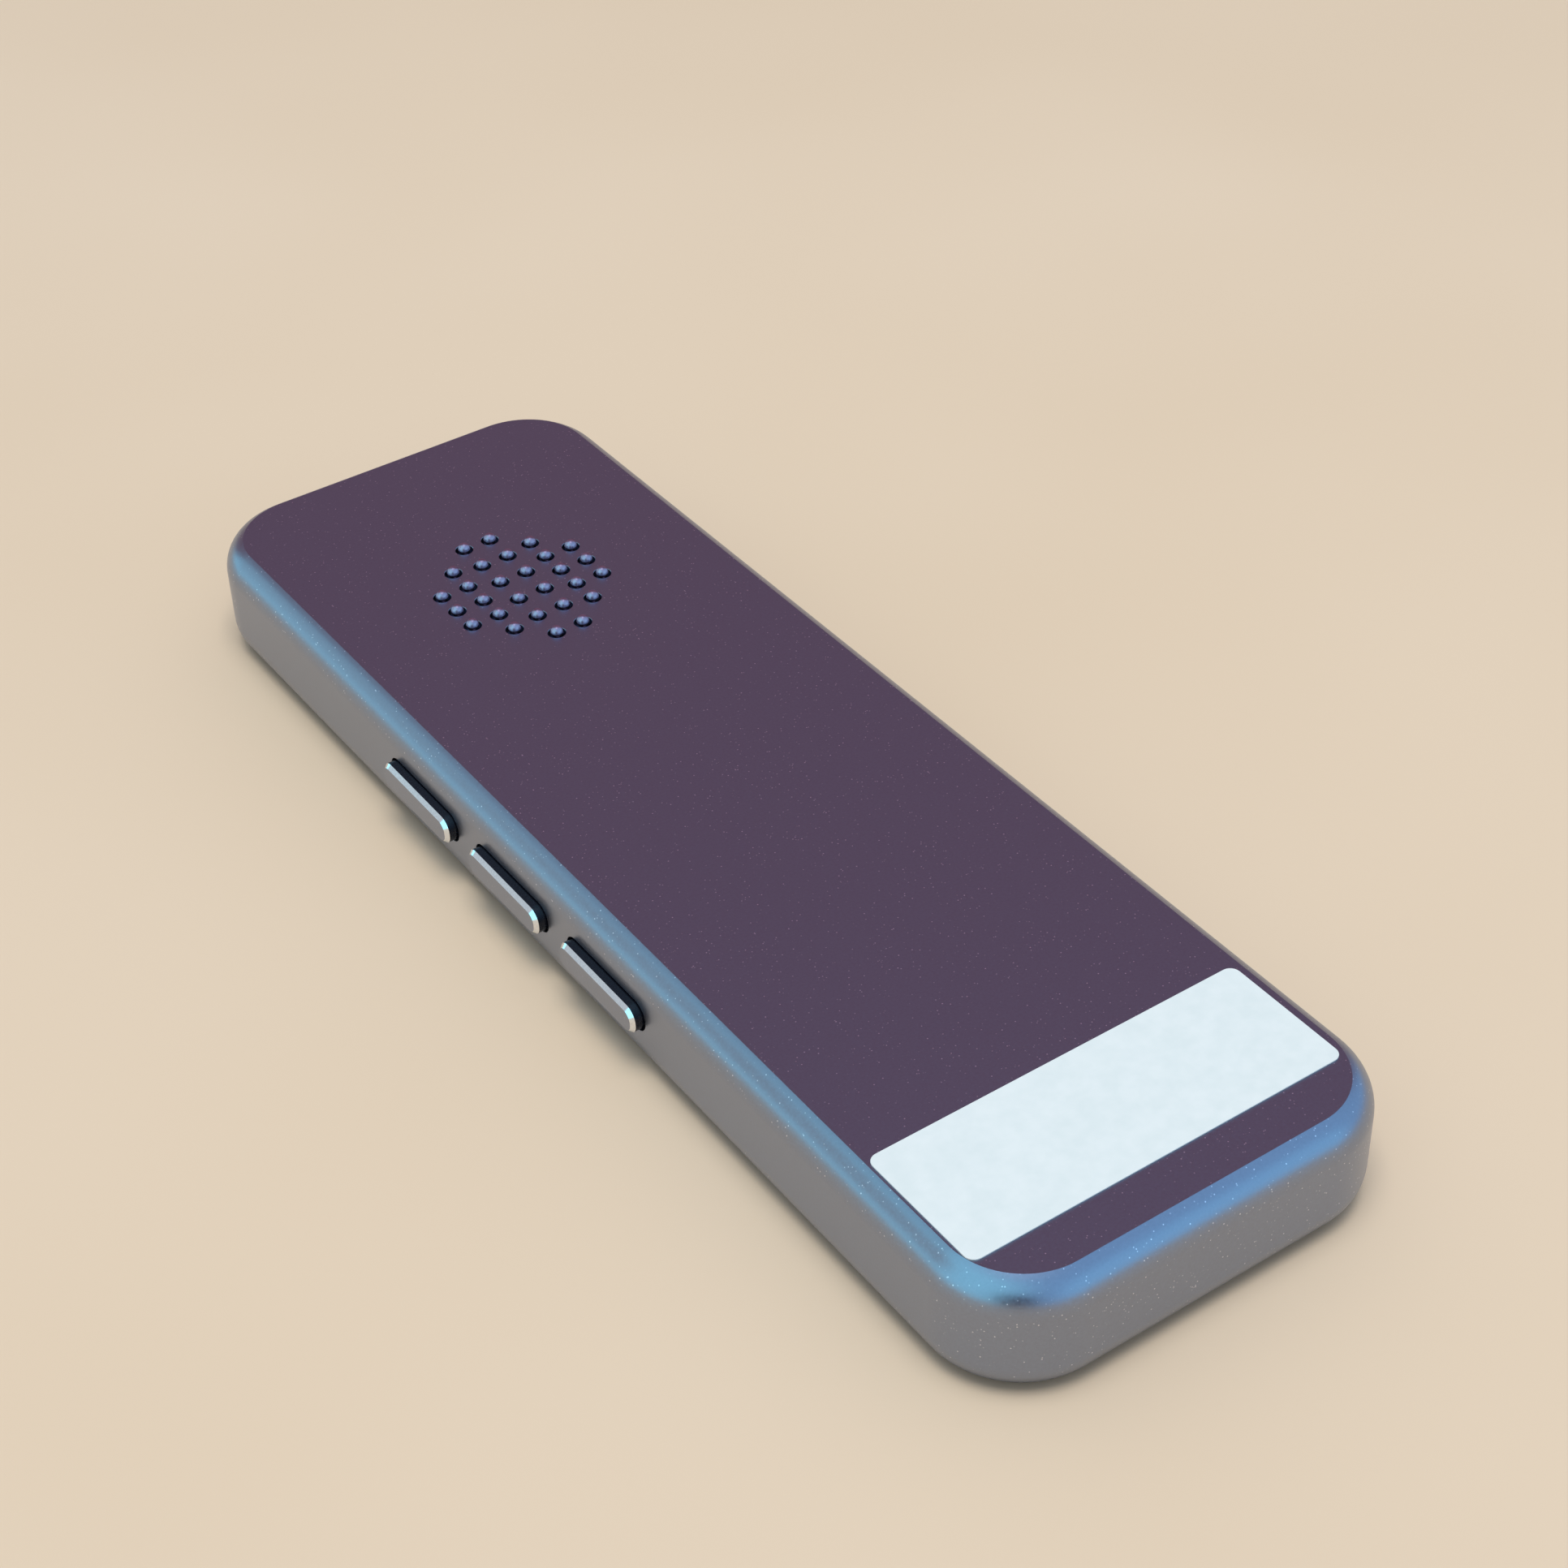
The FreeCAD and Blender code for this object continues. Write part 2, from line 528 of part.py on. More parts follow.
def speaker():
    """Magnet can, basket and a shallow cone with a domed cap, turned about its axis."""
    r = SPEAKER_R
    z = SPEAKER_Z
    top = SPEAKER_TOP
    cap_r = 3.6
    cap_rise = 0.8
    ball_r = (cap_r ** 2 + cap_rise ** 2) / (2 * cap_rise)
    half = math.asin(cap_r / ball_r) / 2
    apex = Vector(0, GRILLE_Y, top - 0.3)
    points = [Vector(0, GRILLE_Y, z), Vector(0, GRILLE_Y + r * 0.65, z),
              Vector(0, GRILLE_Y + r * 0.65, z + 1.6), Vector(0, GRILLE_Y + r, z + 1.9),
              Vector(0, GRILLE_Y + r, top), Vector(0, GRILLE_Y + r - 1.0, top),
              Vector(0, GRILLE_Y + r - 1.6, top - 0.3), Vector(0, GRILLE_Y + cap_r, apex.z - cap_rise)]
    edges = [Part.LineSegment(a, b).toShape() for a, b in zip(points, points[1:])]
    mid = apex + Vector(0, ball_r * math.sin(half), -ball_r * (1 - math.cos(half)))
    edges.append(Part.Arc(points[-1], mid, apex).toShape())
    edges.append(Part.LineSegment(apex, points[0]).toShape())
    face = Part.Face(Part.Wire(edges))
    return face.revolve(Vector(0, GRILLE_Y, 0), Vector(0, 0, 1), 360)


def speaker_gasket():
    ring = disc(0, GRILLE_Y, GASKET_Z0, GASKET_Z0 + GASKET_T, SPEAKER_CUP_R + SPEAKER_WALL - 0.2)
    return ring.cut(disc(0, GRILLE_Y, GASKET_Z0, GASKET_Z0 + GASKET_T, SPEAKER_R - 1.2))


def speaker_mesh():
    return disc(0, GRILLE_Y, MESH_Z0, PIN_BAR_Z0, SPEAKER_R)


def grille_pins():
    """A ring and six bars behind the back wall, with a round-headed pin through each sound hole."""
    ring = disc(0, GRILLE_Y, PIN_BAR_Z0, INNER_TOP, SPEAKER_R).cut(
        disc(0, GRILLE_Y, PIN_BAR_Z0, INNER_TOP, SPEAKER_R - PIN_RING_W))
    pieces = []
    for column in (side * x for x, rows in GRILLE_COLUMNS for side in (-1, 1)):
        reach = math.sqrt((SPEAKER_R - PIN_RING_W / 2) ** 2 - column ** 2)
        pieces.append(box(column - PIN_BAR_W / 2, column + PIN_BAR_W / 2, GRILLE_Y - reach, GRILLE_Y + reach,
                          PIN_BAR_Z0, INNER_TOP))
    for p in grille_points():
        pieces.append(disc(p.x, p.y, PIN_BAR_Z0, PIN_HEAD_Z, PIN_NECK_R))
        pieces.append(Part.makeSphere(PIN_HEAD_R, Vector(p.x, p.y, PIN_HEAD_Z)))
    return ring.fuse(pieces).removeSplitter()


def speaker_contacts():
    """Two bent spring strips from the speaker cup's side down to the board."""
    y = GRILLE_Y + SPEAKER_CUP_R + SPEAKER_WALL
    strips = []
    for x in (-2.5, 2.5):
        upright = box(x - 0.6, x + 0.6, y, y + 0.2, BOARD_TOP + 0.15, 7.0)
        foot = box(x - 0.6, x + 0.6, y, y + 1.8, BOARD_TOP, BOARD_TOP + 0.15)
        strips.append(upright.fuse(foot).removeSplitter())
    return Part.makeCompound(strips)


def microphone(x):
    y0 = MIC_BOOT_Y0 - 0.1 - MIC_L
    can = box(x - MIC_W / 2, x + MIC_W / 2, y0, y0 + MIC_L, BOARD_TOP, BOARD_TOP + MIC_T)
    can = can.makeFillet(0.2, rim(can, BOARD_TOP + MIC_T))
    return can.cut(disc(x, y0 + MIC_L * 0.7, BOARD_TOP + 0.4, BOARD_TOP + MIC_T, 0.25))


def microphone_boot(x):
    """A soft duct from the hole in the end wall back over the microphone."""
    lid_y0 = MIC_BOOT_Y0 - MIC_L
    boot = box(x - 1.9, x + 1.9, MIC_BOOT_Y0, MIC_BOOT_Y1, BOARD_TOP, PORT_Z + 1.2)
    lid = box(x - 1.9, x + 1.9, lid_y0, MIC_BOOT_Y0, BOARD_TOP + MIC_T, PORT_Z + 1.2)
    duct = box(x - 0.4, x + 0.4, lid_y0 + 0.8, MIC_BOOT_Y1, PORT_Z - 0.1, PORT_Z + 0.5)
    return boot.fuse(lid).cut(duct).removeSplitter()


def processor():
    chip = box(-9.0, 3.0, CHIP_Y - 6.0, CHIP_Y + 6.0, BOARD_TOP, BOARD_TOP + 1.0)
    return chip.makeChamfer(0.1, rim(chip, BOARD_TOP + 1.0))


def memory_chip():
    chip = box(4.0, 10.5, CHIP_Y - 4.0, CHIP_Y + 4.0, BOARD_TOP, BOARD_TOP + 0.9)
    return chip.makeChamfer(0.1, rim(chip, BOARD_TOP + 0.9))


def shield_can():
    """A thin steel lid over both chips, open below, with small vents in its top."""
    top = BOARD_TOP + CAN_HEIGHT
    outer = plate(11.0, 7.0, 0.6, BOARD_TOP, top, 0.7, CHIP_Y)
    inner = plate(11.0 - CAN_T, 7.0 - CAN_T, 0.6 - CAN_T, BOARD_TOP, top - CAN_T, 0.7, CHIP_Y)
    vents = [disc(0.7 + i * 4.0, CHIP_Y + j * 3.6, BOARD_TOP, top, 0.5)
             for i in (-2, -1, 0, 1, 2) for j in (-1, 0, 1)]
    return outer.cut([inner] + vents)


def antenna_carrier():
    """A ribbed plastic block at the near end that holds the antenna upright."""
    block = box(-10.6, 10.6, CARRIER_Y0, CARRIER_Y1, BOARD_TOP, CARRIER_TOP)
    pockets = [box(x - 1.9, x + 1.9, CARRIER_Y0, CARRIER_Y1 - 0.8, BOARD_TOP + 0.8, CARRIER_TOP - 0.8)
               for x in (-7.8, -3.9, 0.0, 3.9, 7.8)]
    return block.cut(pockets)


def antenna():
    """A thin printed strip, bent into a meander by its slots."""
    y0 = CARRIER_Y1
    strip = box(-10.0, 10.0, y0, y0 + FLEX_T, BOARD_TOP + 0.4, CARRIER_TOP - 0.2)
    slots = []
    for k, x in enumerate((-7.0, -3.5, 0.0, 3.5, 7.0)):
        low = BOARD_TOP + 1.4 if k % 2 else BOARD_TOP + 0.4
        high = CARRIER_TOP - 0.2 if k % 2 else CARRIER_TOP - 1.2
        slots.append(box(x - 0.4, x + 0.4, y0, y0 + FLEX_T, low, high))
    return strip.cut(slots)


def label():
    return plate(LABEL_W / 2, LABEL_L / 2, LABEL_R, THICK, THICK + LABEL_T, LABEL_X, LABEL_Y)


save("back_case", back_case())
save("front_frame", front_frame())
save("front_glass", front_glass())
save("glass_tape", glass_tape())
save("screen_module", screen_module())
save("screen_flex", screen_flex())
save("screen_connector", screen_connector())
for side, x in (("left", -TALK_KEY_X), ("right", TALK_KEY_X)):
    save("talk_key_" + side, talk_key(x))
    save("talk_switch_" + side, talk_switch(x))
save("main_board", main_board())
save("charging_port", charging_port())
save("port_tongue", port_tongue())
for name, y in zip(("power", "volume_up", "volume_down"), side_key_centres()):
    save(name + "_key", side_key(y))
    save(name + "_switch", side_switch(y))
save("side_key_strip", side_key_strip())
save("side_key_bracket", side_key_bracket())
save("bracket_screws", bracket_screws())
save("frame_screws", frame_screws())
save("battery_tray", battery_tray())
save("battery", battery())
save("battery_tape", battery_tape())
save("battery_connector", battery_connector())
save("battery_leads", battery_leads())
save("speaker_housing", speaker_housing())
save("speaker", speaker())
save("speaker_gasket", speaker_gasket())
save("speaker_mesh", speaker_mesh())
save("grille_pins", grille_pins())
save("speaker_contacts", speaker_contacts())
for side, x in (("left", -MIC_X), ("right", MIC_X)):
    save("microphone_" + side, microphone(x))
    save("microphone_boot_" + side, microphone_boot(x))
save("processor", processor())
save("memory_chip", memory_chip())
save("shield_can", shield_can())
save("antenna_carrier", antenna_carrier())
save("antenna", antenna())
save("label", label())
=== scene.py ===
import json
import math

import bmesh
import bpy
from mathutils import Matrix, Vector


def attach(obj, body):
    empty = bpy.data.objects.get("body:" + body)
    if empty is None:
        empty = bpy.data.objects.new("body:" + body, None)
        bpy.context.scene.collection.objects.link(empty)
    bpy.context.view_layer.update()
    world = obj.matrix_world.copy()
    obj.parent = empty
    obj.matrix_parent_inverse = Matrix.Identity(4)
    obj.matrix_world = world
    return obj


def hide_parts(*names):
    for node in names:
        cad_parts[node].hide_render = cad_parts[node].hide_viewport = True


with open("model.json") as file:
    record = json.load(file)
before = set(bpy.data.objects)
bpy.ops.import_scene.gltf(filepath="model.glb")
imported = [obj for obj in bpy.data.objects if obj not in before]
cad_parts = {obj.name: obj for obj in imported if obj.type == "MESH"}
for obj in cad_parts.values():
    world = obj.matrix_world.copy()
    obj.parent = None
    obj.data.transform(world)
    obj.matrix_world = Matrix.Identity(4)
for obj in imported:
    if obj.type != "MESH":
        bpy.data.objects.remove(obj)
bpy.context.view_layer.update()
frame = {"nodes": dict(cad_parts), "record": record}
MM = 0.001


# Camera. It stands where the photograph was taken from, near the device's near left corner and
# above it. Its place and lens were solved from the sound holes and the straight edges of the case.
CAMERA_AT = Vector((-96.05, -150.8, 150.55)) * MM
CAMERA_TURN = math.radians(-33.77)
CAMERA_TILT = math.radians(51.52)
CAMERA_ROLL = math.radians(-1.83)

camera_data = bpy.data.cameras.new("camera")
camera_data.lens = 68.33
camera_data.clip_start = 0.01
camera = bpy.data.objects.new("camera", camera_data)
bpy.context.scene.collection.objects.link(camera)
camera.matrix_world = (Matrix.Translation(CAMERA_AT) @ Matrix.Rotation(CAMERA_TURN, 4, "Z")
                       @ Matrix.Rotation(CAMERA_TILT, 4, "X") @ Matrix.Rotation(CAMERA_ROLL, 4, "Z"))
bpy.context.scene.camera = camera
bpy.context.scene.view_settings.view_transform = "Standard"


# Table top. A plain pale beige board, which gives the metal a warm surface to mirror from below.
# It is stage and not part of the device.
FLOOR_SIZE = 1.8


def linear(text):
    """An sRGB hex colour as linear red, green, blue and alpha."""
    channels = [int(text[i:i + 2], 16) / 255 for i in (0, 2, 4)]
    return tuple(c / 12.92 if c <= 0.04045 else ((c + 0.055) / 1.055) ** 2.4 for c in channels) + (1.0,)


def node(material, kind, links=None, values=None, stops=(), **settings):
    """Adds a node with its settings, input values, ramp stops and links from other outputs."""
    made = material.node_tree.nodes.new(kind)
    for key, value in settings.items():
        setattr(made, key, value)
    for socket, value in (values or {}).items():
        made.inputs[socket].default_value = value
    for socket, source in (links or {}).items():
        material.node_tree.links.new(source, made.inputs[socket])
    for i, (place, colour) in enumerate(stops):
        element = made.color_ramp.elements[i] if i < 2 else made.color_ramp.elements.new(place)
        element.position = place
        element.color = linear(colour)
    return made


def grained(name, dark, light, smoothest, roughest, grain, depth, metallic=0.0):
    """A finish with a fine grain in its colour, gloss and height. Grain and depth are in mm.

    Gives the material and the nodes that other patterns join: shader, place, tint and bump.
    """
    material = bpy.data.materials.new(name)
    material.use_nodes = True
    shader = material.node_tree.nodes["Principled BSDF"]
    shader.inputs["Metallic"].default_value = metallic
    place = node(material, "ShaderNodeTexCoord").outputs["Object"]
    noise = node(material, "ShaderNodeTexNoise", {"Vector": place},
                 {"Scale": 1 / (grain * MM), "Detail": 2.0})
    low, high = 0.3, 0.7  # nearly all of the noise lies between these
    tint = node(material, "ShaderNodeValToRGB", {"Fac": noise.outputs["Fac"]},
                stops=((low, dark), (high, light)))
    gloss = node(material, "ShaderNodeMapRange", {"Value": noise.outputs["Fac"]},
                 {"From Min": low, "From Max": high, "To Min": smoothest, "To Max": roughest})
    bump = node(material, "ShaderNodeBump", {"Height": noise.outputs["Fac"]}, {"Distance": depth * MM})
    links = material.node_tree.links
    links.new(tint.outputs["Color"], shader.inputs["Base Color"])
    links.new(gloss.outputs["Result"], shader.inputs["Roughness"])
    links.new(bump.outputs["Normal"], shader.inputs["Normal"])
    return material, shader, place, tint, bump


bpy.ops.object.select_all(action="DESELECT")
bpy.ops.mesh.primitive_plane_add(size=FLOOR_SIZE, location=(0, 0, 0))
floor = bpy.context.object
floor.name = "table_top"
# Painted board: an even pale beige with a faint cloud in it, matt.
board_paint, shader = grained("painted_board", "e8d2b6", "ecd7bd", 0.55, 0.62, 90.0, 0.0)[:2]
shader.inputs["Specular IOR Level"].default_value = 0.2
floor.data.materials.append(board_paint)


# Studio light. One soft box overhead lights the table and the label. The metal mirrors the walls of
# the studio instead, which the world holds: cool and bright at the left and near sides, where the
# round edges mirror them, and dark at the far right, where the flat back does.
BOX_WAY = Vector((-0.10, -0.15, 1.0)).normalized()
BOX_DISTANCE, BOX_SIZE, BOX_RADIANCE = 1.2, 0.60, 6.3

lamp = bpy.data.lights.new("overhead_box", "AREA")
lamp.shape = "RECTANGLE"
lamp.size, lamp.size_y = BOX_SIZE, BOX_SIZE
lamp.energy = BOX_RADIANCE * math.pi * BOX_SIZE * BOX_SIZE
lamp.color = linear("fffaf2")[:3]
box = bpy.data.objects.new("overhead_box", lamp)
bpy.context.scene.collection.objects.link(box)
box.location = BOX_WAY * BOX_DISTANCE
box.rotation_euler = (-BOX_WAY).to_track_quat("-Z", "Y").to_euler()
box.visible_glossy = False

world = bpy.data.worlds.new("studio_walls")
bpy.context.scene.world = world
world.use_nodes = True
way = node(world, "ShaderNodeTexCoord").outputs["Generated"]
# The walls as the metal mirrors them. Each has its middle direction, the cosines where it starts
# and is full, and its radiance, and covers the ones before it. All other light is the plain air.
NEAR_RIGHT_WALL, PLAIN_AIR = (0.45, 0.76, 1.10, 1.0), (0.48, 0.54, 0.62, 1.0)
WALLS = (((0.38, -0.90, 0.20), 0.84, 0.97, (0.55, 1.08, 1.48, 1.0)),  # cool wall at the near side
         ((-0.94, 0.34, 0.0), -0.2, 0.5, (0.66, 1.38, 1.58, 1.0)),  # bright cool wall at the left
         ((-0.63, -0.75, 0.20), 0.91, 0.985, (0.12, 0.09, 0.12, 1.0)),  # dark gap between the two
         ((-0.69, 0.58, 0.42), 0.93, 0.985, (0.54, 0.58, 0.60, 1.0)),  # dimmer patch high at the left
         ((0.433, 0.75, 0.50), 0.58, 0.70, (0.30, 0.16, 0.21, 1.0)),  # dark wall at the far right
         ((0.0, 0.0, 1.0), 0.88, 0.96, (0.50, 0.72, 0.95, 1.0)),  # ceiling
         ((0.0, 0.0, 1.0), 0.955, 0.99, (1.60, 1.75, 2.20, 1.0)),  # bright panel in the ceiling
         ((0.0, 0.0, -1.0), 0.0, 0.1, (0.60, 0.50, 0.40, 1.0)))  # warm ground past the table
walls = node(world, "ShaderNodeRGB")
walls.outputs["Color"].default_value = NEAR_RIGHT_WALL
seen = walls.outputs["Color"]
for middle, start, full, radiance in WALLS:
    facing = node(world, "ShaderNodeVectorMath", {0: way}, {1: middle}, operation="DOT_PRODUCT")
    share = node(world, "ShaderNodeMapRange", {"Value": facing.outputs["Value"]},
                 {"From Min": start, "From Max": full}, interpolation_type="SMOOTHSTEP")
    seen = node(world, "ShaderNodeMix", {0: share.outputs["Result"], 6: seen}, {7: radiance},
                data_type="RGBA").outputs[2]
mirrored = node(world, "ShaderNodeLightPath").outputs["Is Glossy Ray"]
lit = node(world, "ShaderNodeMix", {0: mirrored, 7: seen}, {6: PLAIN_AIR}, data_type="RGBA")
world.node_tree.links.new(lit.outputs[2], world.node_tree.nodes["Background"].inputs["Color"])


# Back case. One aluminium shell with walls 1.2 mm thick, milled with a flat back and full round
# edges that meet the flat at a crease, then bead-blasted and anodised dark grey. Six screws from
# the front frame hold it by the posts inside.
LENGTH, WIDTH, THICK = 112.2, 36.0, 10.0
HALF_L, HALF_W = LENGTH / 2, WIDTH / 2
CORNER_R, EDGE_R, WALL, BACK_WALL, CAVITY_R = 7.5, 3.0, 1.2, 1.0, 1.6
CREASE = math.radians(25)
CREASE_LOSS = EDGE_R * (1 - math.cos(CREASE))
SEAM_Z, INNER_TOP, MID_Z = 0.95, THICK - BACK_WALL, THICK / 2
GRILLE_Y = 31.0
GRILLE_COLUMNS = ((1.25, (-7.5, -4.5, -1.5, 1.5, 4.5, 7.5)), (3.75, (-5.0, -2.5, 0.0, 2.5, 5.0)),
                  (6.25, (-2.5, 0.0, 2.5)))
HOLE_R, HOLE_CHAMFER = 0.75, 0.05
KEY_Y = (16.7, 3.4, -9.9)
KEY_LENGTH, KEY_HEIGHT, KEY_R = 10.2, 2.4, 1.1
KEY_GAP_Y, KEY_GAP_Z, SLOT_EDGE = 0.2, 0.13, 0.07
PORT_W, PORT_H, PORT_GAP = 8.94, 3.26, 0.12
MIC_X, MIC_HOLE_R = 8.2, 0.5
# Each row of posts: places, lowest height, outer radius, pilot radius and pilot's top. The tools
# that cut, here and further on, reach 0.1 to 1 mm past what they cut, and welded parts overlap.
POSTS = ((((12.6, 49.6), (-12.6, 49.6), (13.2, -28.0), (-13.2, -28.0), (12.6, -49.6), (-12.6, -49.6)),
          3.8, 1.6, 0.72, 7.8),
         (((-13.5, 21.6), (-13.5, -15.2)), 6.5, 1.3, 0.52, 8.6))


def start_box(name, low, high):
    """A box between two corners, left in edit mode."""
    bpy.ops.object.select_all(action="DESELECT")
    bpy.ops.mesh.primitive_cube_add(size=1, location=[(a + b) / 2 * MM for a, b in zip(low, high)])
    made = bpy.context.object
    made.name = name
    made.scale = [(b - a) * MM for a, b in zip(low, high)]
    bpy.ops.object.transform_apply(location=True, rotation=True, scale=True)
    bpy.ops.object.mode_set(mode="EDIT")
    return made


def start_disc(name, x, y, z0, z1, r, steps=32):
    """An upright round bar, left in edit mode."""
    bpy.ops.object.select_all(action="DESELECT")
    bpy.ops.mesh.primitive_cylinder_add(vertices=steps, radius=r * MM, depth=(z1 - z0) * MM,
                                        location=(x * MM, y * MM, (z0 + z1) / 2 * MM))
    made = bpy.context.object
    made.name = name
    bpy.ops.object.transform_apply(location=True, rotation=True, scale=True)
    bpy.ops.object.mode_set(mode="EDIT")
    return made


def pick(made, kind, test):
    """Selects only the edges or faces of the edited mesh that a test accepts."""
    bpy.ops.mesh.select_mode(type=kind)
    bpy.ops.mesh.select_all(action="DESELECT")
    mesh = bmesh.from_edit_mesh(made.data)
    for item in (mesh.edges if kind == "EDGE" else mesh.faces):
        if test(item):
            item.select_set(True)
    bmesh.update_edit_mesh(made.data)


def along(axis):
    """A test for edges parallel to an axis."""
    return lambda edge: abs((edge.verts[1].co - edge.verts[0].co).normalized()[axis]) > 0.99


def lying(axis, value):
    """A test for edges that lie at one place along an axis."""
    return lambda edge: all(abs(v.co[axis] - value * MM) < 1e-6 for v in edge.verts)


def bevel(size, steps):
    """Rounds the selected edges, or cuts them flat when steps is 1."""
    bpy.ops.mesh.bevel(offset=size * MM, segments=steps, profile=0.5, affect="EDGES")


def done(made):
    """Leaves edit mode with the normals facing outwards."""
    bpy.ops.mesh.select_all(action="SELECT")
    bpy.ops.mesh.normals_make_consistent(inside=False)
    bpy.ops.object.mode_set(mode="OBJECT")
    return made


def rounded_block(name, half_x, half_y, r, z0, z1, edge_r, edge_z, steps=20, edge_steps=14):
    """A block with upright round corners and with round edges at the given heights."""
    block = start_box(name, (-half_x, -half_y, z0), (half_x, half_y, z1))
    pick(block, "EDGE", along(2))
    bevel(r, steps)
    for z in edge_z:
        pick(block, "EDGE", lying(2, z))
        bevel(edge_r, edge_steps)
    return block


def bar(name, low, high, axis, r, steps=10):
    """A bar with round corners about one axis."""
    made = start_box(name, low, high)
    pick(made, "EDGE", along(axis))
    bevel(r, steps)
    return done(made)


def saw(z, below):
    """Cuts the edited mesh flat at a height, keeps the part below or above it and closes it."""
    bpy.ops.mesh.select_all(action="SELECT")
    bpy.ops.mesh.bisect(plane_co=(0, 0, z * MM), plane_no=(0, 0, 1), use_fill=True, clear_outer=below,
                        clear_inner=not below)


def modify(made, kind, **settings):
    """Adds a modifier and applies it."""
    bpy.context.view_layer.objects.active = made
    modifier = made.modifiers.new("step", kind)
    for key, value in settings.items():
        setattr(modifier, key, value)
    bpy.ops.object.modifier_apply(modifier=modifier.name)


def combine(made, other, operation="DIFFERENCE"):
    """Cuts another solid away from a piece, or welds it on, and uses it up."""
    modify(made, "BOOLEAN", operation=operation, object=other, solver="EXACT")
    bpy.data.objects.remove(other)


def join(parts):
    """Joins objects into the first one."""
    bpy.ops.object.select_all(action="DESELECT")
    for part in parts:
        part.select_set(True)
    bpy.context.view_layer.objects.active = parts[0]
    bpy.ops.object.join()
    return parts[0]


def smooth(made, degrees=20):
    """Smooth shading that keeps flats flat and corners past an angle sharp."""
    bpy.ops.object.select_all(action="DESELECT")
    made.select_set(True)
    bpy.context.view_layer.objects.active = made
    bpy.ops.object.shade_smooth_by_angle(angle=math.radians(degrees))
    modify(made, "WEIGHTED_NORMAL", keep_sharp=True, weight=60)


def sound_drill(x, y):
    """A drill for one sound hole, wider at its top for the chamfer."""
    drill = start_disc("drill", x, y, INNER_TOP - 0.1, THICK - HOLE_CHAMFER, HOLE_R)
    pick(drill, "FACE", lambda face: face.normal.z > 0.9)
    bpy.ops.mesh.extrude_region_move(TRANSFORM_OT_translate={"value": (0, 0, 2 * HOLE_CHAMFER * MM)})
    grow = 1 + 2 * HOLE_CHAMFER / HOLE_R
    bpy.ops.transform.resize(value=(grow, grow, 1), center_override=(x * MM, y * MM, 0))
    return done(drill)


case = rounded_block("metal_back_case", HALF_W, HALF_L, CORNER_R, -CREASE_LOSS, THICK + CREASE_LOSS,
                     EDGE_R, (-CREASE_LOSS, THICK + CREASE_LOSS))
saw(THICK, below=True)
saw(SEAM_Z, below=False)
done(case)
hollow = done(rounded_block("hollow", HALF_W - WALL, HALF_L - WALL, CORNER_R - WALL, -1.0, INNER_TOP,
                            CAVITY_R, (INNER_TOP,), 20, 6))
combine(case, hollow)
combine(case, join([done(start_disc("post", x, y, low, INNER_TOP + 0.2, r))
                    for places, low, r, pilot, top in POSTS for x, y in places]), "UNION")
combine(case, join([done(start_disc("pilot", x, y, low - 0.5, top, pilot))
                    for places, low, r, pilot, top in POSTS for x, y in places]))
combine(case, join([sound_drill(side * x, GRILLE_Y + y) for x, rows in GRILLE_COLUMNS for y in rows
                    for side in (-1, 1)]))
slot_y, slot_z = KEY_LENGTH / 2 + KEY_GAP_Y, KEY_HEIGHT / 2 + KEY_GAP_Z
for y in KEY_Y:
    combine(case, bar("slot", (-HALF_W - 1, y - slot_y, MID_Z - slot_z),
                      (-HALF_W + WALL + 0.3, y + slot_y, MID_Z + slot_z), 0, KEY_R + KEY_GAP_Z))
mouth_x, mouth_z = PORT_W / 2 + PORT_GAP, PORT_H / 2 + PORT_GAP
combine(case, bar("socket_mouth", (-mouth_x, HALF_L - WALL - 0.5, MID_Z - mouth_z),
                  (mouth_x, HALF_L + 1, MID_Z + mouth_z), 1, mouth_z - 0.01))
for x in (-MIC_X, MIC_X):
    combine(case, bar("mic_hole", (x - MIC_HOLE_R, HALF_L - WALL - 1, MID_Z - MIC_HOLE_R),
                      (x + MIC_HOLE_R, HALF_L + 1, MID_Z + MIC_HOLE_R), 1, MIC_HOLE_R - 0.01, 8))


def on_opening(edge):
    """A test for the outer rims of the key slots, the socket's mouth and the microphone holes."""
    wall_x = lying(0, -HALF_W)(edge) and all(abs(v.co.z - MID_Z * MM) < (slot_z + 0.01) * MM
                                             and min(abs(v.co.y / MM - y) for y in KEY_Y) < slot_y + 0.01
                                             for v in edge.verts)
    wall_y = lying(1, HALF_L)(edge) and all(abs(v.co.z - MID_Z * MM) < (mouth_z + 0.01) * MM
                                            and abs(v.co.x) < (MIC_X + 1) * MM for v in edge.verts)
    return (wall_x or wall_y) and edge.calc_face_angle(0) > 1.0


bpy.context.view_layer.objects.active = case
bpy.ops.object.mode_set(mode="EDIT")
pick(case, "EDGE", on_opening)
bevel(SLOT_EDGE, 2)
bpy.ops.object.mode_set(mode="OBJECT")
smooth(case)

